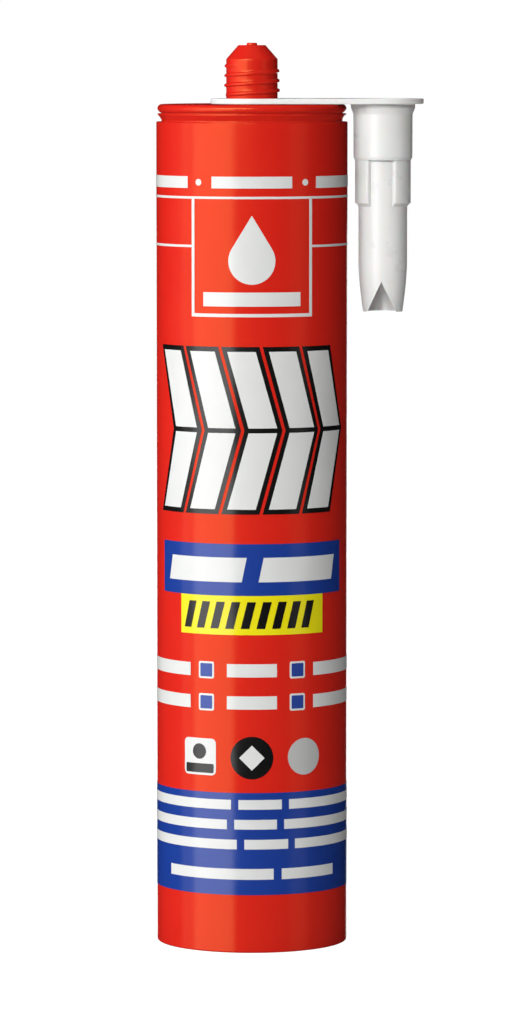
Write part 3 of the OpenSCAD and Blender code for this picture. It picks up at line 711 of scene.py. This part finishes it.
class CARTRIDGE_OT_print(bpy.types.Operator):
    """Lay the films of ink round the barrel"""

    bl_idname = "cartridge.print"
    bl_label = "Print"

    # Angle between two creases of a film, which follow the barrel's curve
    crease = radians(1.5)

    def execute(self, context):
        p, finishes = context.scene.print_sizes, context.scene.finishes
        self.p = p
        self.r = context.scene.cartridge_sizes.barrel_r
        self.first = self.r + p.gap
        self.second = self.first + p.film + p.gap
        for name in ("white", "blue", "yellow", "black", "grey"):
            self.bm = bmesh.new()
            getattr(self, name)(p)
            # Cured offset ink: a glossy film, mottled where it didn't wet the plastic evenly.
            # Its fine relief is coarser than the real 0.1 mm.
            add_piece(
                f"{name}_print_film", self.bm,
                polymer(f"Glossy {name} offset ink", getattr(finishes, f"{name}_ink"), rough=0.2,
                        grain=0.3 * MM, depth=0.001 * MM, patch=5 * MM, tone=0.05, IOR=1.5),
                "cartridge_body", f"{name}_print")
        return {"FINISHED"}

    def white(self, p):
        """The frame with its drop, the lines, the bars and the white parts of the shapes."""
        frame_high = p.frame_low + p.frame_h
        self.field(self.first, -180, 180, frame_high - p.fine_line, frame_high)
        self.field(self.first, -FRAME_HALF, FRAME_HALF, p.frame_low, p.frame_low + p.frame_line)
        width = self.spread(p.frame_line)
        for a in (-FRAME_HALF, FRAME_HALF - width):
            self.field(self.first, a, a + width, p.frame_low + p.frame_line + p.gap,
                       frame_high - p.fine_line - p.gap)
        line_z = frame_high - p.line_pitch
        start = FRAME_HALF + self.spread(p.gap)
        self.field(self.first, start, 360 - start, line_z - p.fine_line, line_z)
        self.drop(p.frame_low + p.drop_up, p.drop_r, p.drop_point)
        self.bars(self.first, FRAME_ROW, p.frame_low + p.frame_row)
        self.bars(self.first, TOP_ROW, frame_high + p.top_row)
        for a in DOTS_AT:
            self.spot(self.first, a, frame_high + p.top_row, p.dot_r)
        motif_high = p.motif_low + p.motif_h
        motif_mid = (p.motif_low + motif_high) / 2
        for i in range(p.chevrons):
            for v0, v1 in (
                    (p.motif_low + p.outline, motif_mid - p.outline / 2),
                    (motif_mid + p.outline / 2, motif_high - p.outline)):
                self.chevron(i, self.second, p.outline, (v0, v1))
        for a0, a1 in BLUE_BARS:
            self.slanted(self.second, a0, a1, p.blue_low + p.blue_margin,
                         p.blue_low + p.blue_h - p.blue_margin, BLUE_LEAN)
        for v in (p.red_low_row, p.red_high_row):
            self.bars(self.first, RED_ROW, v)
            for a in SQUARES_AT:
                self.tile(self.first, a, v, SQUARE)
        self.tile(self.first, TILE_AT, p.band_h + p.tile_row, WHITE_TILE)
        self.tile(self.second, 0, p.band_h + p.tile_row, LOZENGE, turned=-pi / 4)
        for i, row in enumerate(BAND_ROWS):
            self.bars(self.second, row, p.band_h - p.band_row - i * p.band_pitch)
        self.bars(self.second, FOOT_ROW, p.band_h - p.foot_row)

    def blue(self, p):
        """The blue field, the band and the squares' cores."""
        self.field(self.first, -BLUE_HALF, BLUE_HALF, p.blue_low, p.blue_low + p.blue_h)
        self.field(self.first, -180, 180, 0, p.band_h)
        for v in (p.red_low_row, p.red_high_row):
            for a in SQUARES_AT:
                self.tile(self.second, a, v, SQUARE_CORE)

    def yellow(self, p):
        """The yellow field, which stops short of the blue one."""
        self.field(self.first, -YELLOW_HALF, YELLOW_HALF, p.yellow_low, p.blue_low - p.gap)

    def black(self, p):
        """The chevrons' outline, the stripes and the black parts of the small shapes."""
        heights = (p.motif_low, p.motif_low + p.motif_h / 2, p.motif_low + p.motif_h)
        for i in range(p.chevrons):
            self.chevron(i, self.first, 0, heights)
        pitch = STRIPES_SPAN / p.stripes
        for i in range(p.stripes):
            a = STRIPES_START + i * pitch
            self.slanted(self.second, a, a + STRIPE_SHARE * pitch, p.yellow_low + p.stripe_margin,
                         p.blue_low - p.stripe_margin, STRIPE_LEAN)
        tile_z = p.band_h + p.tile_row
        self.tile(self.second, TILE_AT, tile_z - p.tile_bar, TILE_BAR)
        self.spot(self.second, TILE_AT, tile_z + p.tile_dot, p.tile_dot_r)
        self.spot(self.first, 0, tile_z, p.black_disc_r)

    def grey(self, p):
        """The pale grey disc."""
        self.spot(self.first, GREY_DISC_AT, p.band_h + p.tile_row, p.grey_disc_r)

    def spread(self, s):
        """The angle in degrees that a length spans round the barrel."""
        return s / self.r * 180 / pi

    def lay(self, flat, ink_r, rolled=False, at=0.0):
        """Bends a flat shape round the barrel and gives it the film's thickness.

        A rolled shape keeps its length round the barrel, and another one its width as seen
        from straight ahead. The shape's X is its width, and its Y is a height in the print.
        """
        def across(a):
            return self.r * a if rolled else self.r * sin(a)

        def around(x):
            return x / self.r if rolled else asin(x / self.r)

        ends = [around(pick(v.co.x for v in flat.verts)) for pick in (min, max)]
        for k in range(ceil(ends[0] / self.crease), floor(ends[1] / self.crease) + 1):
            slice_along(flat, (across(k * self.crease), 0, 0), (1, 0, 0))
        for v in flat.verts:
            a = radians(at) + around(v.co.x)
            v.co = (ink_r * sin(a), -ink_r * cos(a), self.p.foot + v.co.y)
        merge(flat)
        made = bmesh.ops.extrude_face_region(flat, geom=flat.faces[:], use_keep_orig=True)
        for v in made["geom"]:
            if isinstance(v, bmesh.types.BMVert):
                v.co.xy *= (ink_r + self.p.film) / ink_r
        join(self.bm, flat)

    def tile(self, ink_r, at, v, size, turned=0.0, rolled=False):
        """Film on a (width, height, rounding) rectangle round a point on the barrel."""
        w, h, corner = size
        flat = bmesh.new()
        bmesh.ops.create_grid(flat, x_segments=1, y_segments=1, size=0.5)
        bmesh.ops.transform(
            flat, verts=flat.verts,
            matrix=Matrix.Rotation(turned, 4, "Z") @ Matrix.Diagonal((w, h, 1, 1)))
        if corner:
            bmesh.ops.bevel(
                flat, geom=flat.verts[:], offset=corner, offset_type="OFFSET", segments=6,
                profile=0.5, affect="VERTICES", material=-1)
        bmesh.ops.translate(flat, verts=flat.verts, vec=(0, v, 0))
        self.lay(flat, ink_r, rolled=rolled, at=at)

    def field(self, ink_r, a0, a1, v0, v1):
        """Film between two angles in degrees and two heights in the print."""
        size = radians(a1 - a0) * self.r, v1 - v0, 0
        self.tile(ink_r, (a0 + a1) / 2, (v0 + v1) / 2, size, rolled=True)

    def bars(self, ink_r, row, v):
        """Row of bars round a height in the print."""
        h, ends = row
        for a0, a1 in ends:
            self.field(ink_r, a0, a1, v - h / 2, v + h / 2)

    def outline(self, ink_r, points):
        """Film inside an outline given as (width, height) points."""
        flat = bmesh.new()
        verts = [flat.verts.new((x, v, 0)) for x, v in points]
        bmesh.ops.contextual_create(flat, geom=verts)
        self.lay(flat, ink_r)

    def corners(self, ink_r, points):
        """Film inside an outline given as (angle in degrees, height) points."""
        self.outline(ink_r, [(self.r * sin(radians(a)), v) for a, v in points])

    def slanted(self, ink_r, a0, a1, v0, v1, lean):
        """Slanted bar, its upper edge moved along by lean degrees."""
        self.corners(ink_r, ((a0, v0), (a1, v0), (a1 + lean, v1), (a0 + lean, v1)))

    def chevron(self, i, ink_r, inset, heights):
        """Chevron number i between the heights in a list, drawn in on its left and right."""
        p = self.p
        middle = p.motif_low + p.motif_h / 2
        step = (2 * CHEVRONS_HALF + CHEVRON_SPACE - CHEVRON_LEAN) / p.chevrons
        left = -CHEVRONS_HALF + i * step + self.spread(inset)
        right = -CHEVRONS_HALF + (i + 1) * step - CHEVRON_SPACE - self.spread(inset)
        shift = [CHEVRON_LEAN * (1 - abs(v - middle) / (p.motif_h / 2)) for v in heights]
        points = [(left + s, v) for s, v in zip(shift, heights)]
        points += reversed([(right + s, v) for s, v in zip(shift, heights)])
        self.corners(ink_r, points)

    def drop(self, v, r, point, steps=40):
        """Drop with a round body and straight flanks that meet at its point."""
        flank = acos(r / point)
        body = [pi / 2 + flank + (2 * pi - 2 * flank) * k / steps for k in range(steps + 1)]
        self.outline(self.first, [(0, v + point)] + [(r * cos(a), v + r * sin(a)) for a in body])

    def spot(self, ink_r, at, v, r):
        """Disc of ink round a point on the barrel."""
        flat = bmesh.new()
        bmesh.ops.create_circle(
            flat, cap_ends=True, segments=64, radius=r, matrix=Matrix.Translation((0, v, 0)))
        self.lay(flat, ink_r, at=at)


class CARTRIDGE_OT_filling(bpy.types.Operator):
    """Fill the barrel with sealant and give the piston its plastic"""

    bl_idname = "cartridge.filling"
    bl_label = "Sealant and piston"

    steps = 96

    def execute(self, context):
        c, s = context.scene.cartridge_sizes, context.scene.filling_sizes
        finishes = context.scene.finishes
        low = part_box("sealant")[0]
        # The sealant keeps the gap round its sides, and above the neck under every face too
        rim = [
            (max(0.0, r - s.gap), z - s.gap if z > c.barrel_h else z)
            for r, z in reversed(inside(c))]
        bm = bmesh.new()
        spin_profile(bm, [
            (0, s.face_z), (s.face_r, s.face_z), (s.foot_r, low.z), (rim[0][0], low.z)] + rim,
            self.steps)
        # Sealant paste: dense and pale, with a soft wet sheen and slow waves
        sealant = add_piece(
            "sealant_filling", bm,
            polymer("White sealant paste", finishes.sealant, rough=0.3, grain=1.5 * MM,
                    depth=0.02 * MM, patch=6 * MM, IOR=1.45,
                    **{"Subsurface Weight": 0.2, "Subsurface Scale": MM}),
            "cartridge_body", "sealant")
        # Keeps the sealant's white off the parts round it
        sealant.visible_diffuse = False
        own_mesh(sealant)
        # Natural polyethylene: milky and waxy, so that light spreads inside it. The mould's
        # grain is coarser than the real 0.1 mm.
        milky = polymer(
            "Natural milky polyethylene", finishes.piston, rough=0.38, grain=0.4 * MM,
            depth=0.004 * MM, patch=9 * MM, IOR=1.54,
            **{"Subsurface Weight": 0.35, "Subsurface Scale": 2 * MM})
        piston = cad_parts["piston"]
        for slot in piston.material_slots:
            slot.material = milky
        return {"FINISHED"}


class CARTRIDGE_OT_stage(bpy.types.Operator):
    """Set up the floor, the lamps, the background and the camera"""

    bl_idname = "cartridge.stage"
    bl_label = "Stage"

    # How much brighter the fill is on the left than in the middle, as a share
    fill_lean = 0.2

    def execute(self, context):
        s = context.scene.stage_settings
        self.floor(s)
        context.scene.world = self.world(s)
        # The softbox, the wing and the back softbox show in the gloss and give the colours no
        # light. The side, back and top lamps light the colours and don't show in the gloss.
        self.lamp("Softbox", s.gloss, (0.975, 1.6), azimuth=-47.5, diffuse=False)
        self.lamp("Wing", s.wing, (0.34, 1.6), azimuth=-83, diffuse=False)
        self.lamp("Back softbox", s.back_gloss, (0.46, 1.0), azimuth=178, elevation=-25,
                  diffuse=False)
        self.lamp("Strip", s.strip, (0.41, 1.6), azimuth=57.5)
        self.lamp("Front lamp", s.front, (2.2, 1.0), azimuth=-24, elevation=21, distance=2.6)
        self.lamp("Side lamp", s.side, (0.8, 0.8), azimuth=-95, elevation=10,
                  distance=1.2, glossy=False)
        self.lamp("Back lamp", s.back, (0.8, 0.8), azimuth=172, elevation=20,
                  distance=1.3, glossy=False)
        self.lamp("Top lamp", s.top, (1.0, 1.0), elevation=90, distance=1.3, glossy=False)
        context.scene.view_settings.view_transform = "Standard"
        data = bpy.data.cameras.new("Camera")
        data.lens = s.lens
        camera = place_object("Camera", data)
        camera.location = s.camera
        camera.rotation_euler = (pi / 2 - s.tilt, 0, 0)
        context.scene.camera = camera
        return {"FINISHED"}

    def lamp(self, name, power, size, azimuth=0, elevation=0, distance=1.0, diffuse=True,
             glossy=True):
        """Lamp of a (width, height) that faces the cartridge's middle from angles in degrees."""
        data = bpy.data.lights.new(name, "AREA")
        data.shape = "RECTANGLE"
        data.size, data.size_y = size
        data.energy = power
        lamp = place_object(name, data)
        middle = Matrix.Translation((0, 0, CARTRIDGE_HIGH.z / 2))
        turn = Matrix.Rotation(radians(azimuth), 4, "Z")
        lift = Matrix.Rotation(radians(90 - elevation), 4, "X")
        lamp.matrix_world = middle @ turn @ lift @ Matrix.Translation((0, 0, distance))
        lamp.visible_camera = False
        lamp.visible_diffuse = diffuse
        lamp.visible_glossy = glossy

    def seen(self, tree, rays):
        """1 for the rays by which the camera sees a thing, also through something clear."""
        return node(tree, "Math", {
            0: rays.outputs["Is Camera Ray"], 1: rays.outputs["Is Transmission Ray"]},
            operation="MAXIMUM")

    def floor(self, s):
        """Pale floor that looks white to the camera and still shows a shadow."""
        bm = bmesh.new()
        bmesh.ops.create_grid(bm, x_segments=1, y_segments=1, size=4)
        mesh = bpy.data.meshes.new("floor")
        bm.to_mesh(mesh)
        bm.free()
        floor_piece = place_object("floor", mesh)
        # Painted board: matt and pale. The glow for the camera's rays lifts it to white.
        board = bpy.data.materials.new("Matt painted board")
        tree = empty_tree(board)
        rays = node(tree, "LightPath")
        matt = node(tree, "BsdfDiffuse", {"Color": s.floor})
        # The glow grows away from the middle, as the lamps' light fades there
        place = node(tree, "TexCoord")
        reach = node(tree, "VectorMath", {0: place.outputs["Object"]}, operation="LENGTH")
        grown = node(tree, "MapRange", {
            "Value": reach.outputs["Value"], "From Min": 0.1, "From Max": 1.0,
            "To Min": 0.82, "To Max": 1.0})
        lift = node(tree, "Math", {
            0: self.seen(tree, rays).outputs[0], 1: grown.outputs["Result"]},
            operation="MULTIPLY")
        glow = node(tree, "Emission", {
            "Color": (1, 1, 1, 1), "Strength": lift.outputs[0]})
        both = node(tree, "AddShader", {0: matt.outputs[0], 1: glow.outputs[0]})
        node(tree, "OutputMaterial", {"Surface": both.outputs[0]})
        mesh.materials.append(board)
        floor_piece.visible_glossy = False

    def world(self, s):
        """White for the camera, a weak fill for matt surfaces, and a dim room for glossy ones."""
        world = bpy.data.worlds.new("Studio")
        world.cycles.sampling_method = "NONE"
        tree = empty_tree(world)
        rays = node(tree, "LightPath")
        ray = node(tree, "TexCoord")
        axes = node(tree, "SeparateXYZ", {"Vector": ray.outputs["Generated"]})
        # The fill is half as bright again on the left as on the right
        fill = node(tree, "MapRange", {
            "Value": axes.outputs["X"], "From Min": -1.0, "From Max": 1.0,
            "To Min": s.fill * (1 + self.fill_lean), "To Max": s.fill * (1 - self.fill_lean)})
        matt = node(tree, "Math", {
            0: fill.outputs["Result"], 1: rays.outputs["Is Diffuse Ray"]}, operation="MULTIPLY")
        glossy = node(tree, "Math", {
            0: s.dim, 1: rays.outputs["Is Glossy Ray"]}, operation="MULTIPLY")
        most = node(tree, "Math", {
            0: matt.outputs[0], 1: glossy.outputs[0]}, operation="MAXIMUM")
        all_rays = node(tree, "Math", {
            0: most.outputs[0], 1: self.seen(tree, rays).outputs[0]}, operation="MAXIMUM")
        light = node(tree, "Background", {
            "Color": (1, 1, 1, 1), "Strength": all_rays.outputs[0]})
        node(tree, "OutputWorld", {"Surface": light.outputs[0]})
        return world


class CARTRIDGE_PT_sidebar(bpy.types.Panel):
    """Sizes, colours and steps of the cartridge"""

    bl_label = "Sealant cartridge"
    bl_idname = "CARTRIDGE_PT_sidebar"
    bl_space_type = "VIEW_3D"
    bl_region_type = "UI"
    bl_category = "Cartridge"

    def draw(self, context):
        for operator, groups in STEPS:
            box = self.layout.box()
            box.operator(operator.bl_idname)
            for group in groups:
                settings = getattr(context.scene, group)
                for name in settings.__annotations__:
                    box.prop(settings, name)


GROUPS = {
    "cartridge_sizes": CartridgeSizes, "thread_sizes": ThreadSizes, "nozzle_sizes": NozzleSizes,
    "print_sizes": PrintSizes, "filling_sizes": FillingSizes, "finishes": Finishes,
    "stage_settings": StageSettings,
}
STEPS = (
    (CARTRIDGE_OT_barrel, ("cartridge_sizes", "thread_sizes")),
    (CARTRIDGE_OT_nozzle, ("nozzle_sizes",)),
    (CARTRIDGE_OT_print, ("print_sizes",)),
    (CARTRIDGE_OT_filling, ("filling_sizes", "finishes")),
    (CARTRIDGE_OT_stage, ("stage_settings",)),
)
CLASSES = (*GROUPS.values(), *(operator for operator, _ in STEPS), CARTRIDGE_PT_sidebar)


def register():
    for cls in CLASSES:
        bpy.utils.register_class(cls)
    for name, group in GROUPS.items():
        setattr(bpy.types.Scene, name, PointerProperty(type=group))


def unregister():
    for name in GROUPS:
        delattr(bpy.types.Scene, name)
    for cls in reversed(CLASSES):
        bpy.utils.unregister_class(cls)


def main():
    register()
    bpy.ops.cartridge.stage()
    bpy.ops.cartridge.barrel()
    bpy.ops.cartridge.nozzle()
    bpy.ops.cartridge.print()
    bpy.ops.cartridge.filling()


if __name__ == "__main__":
    main()
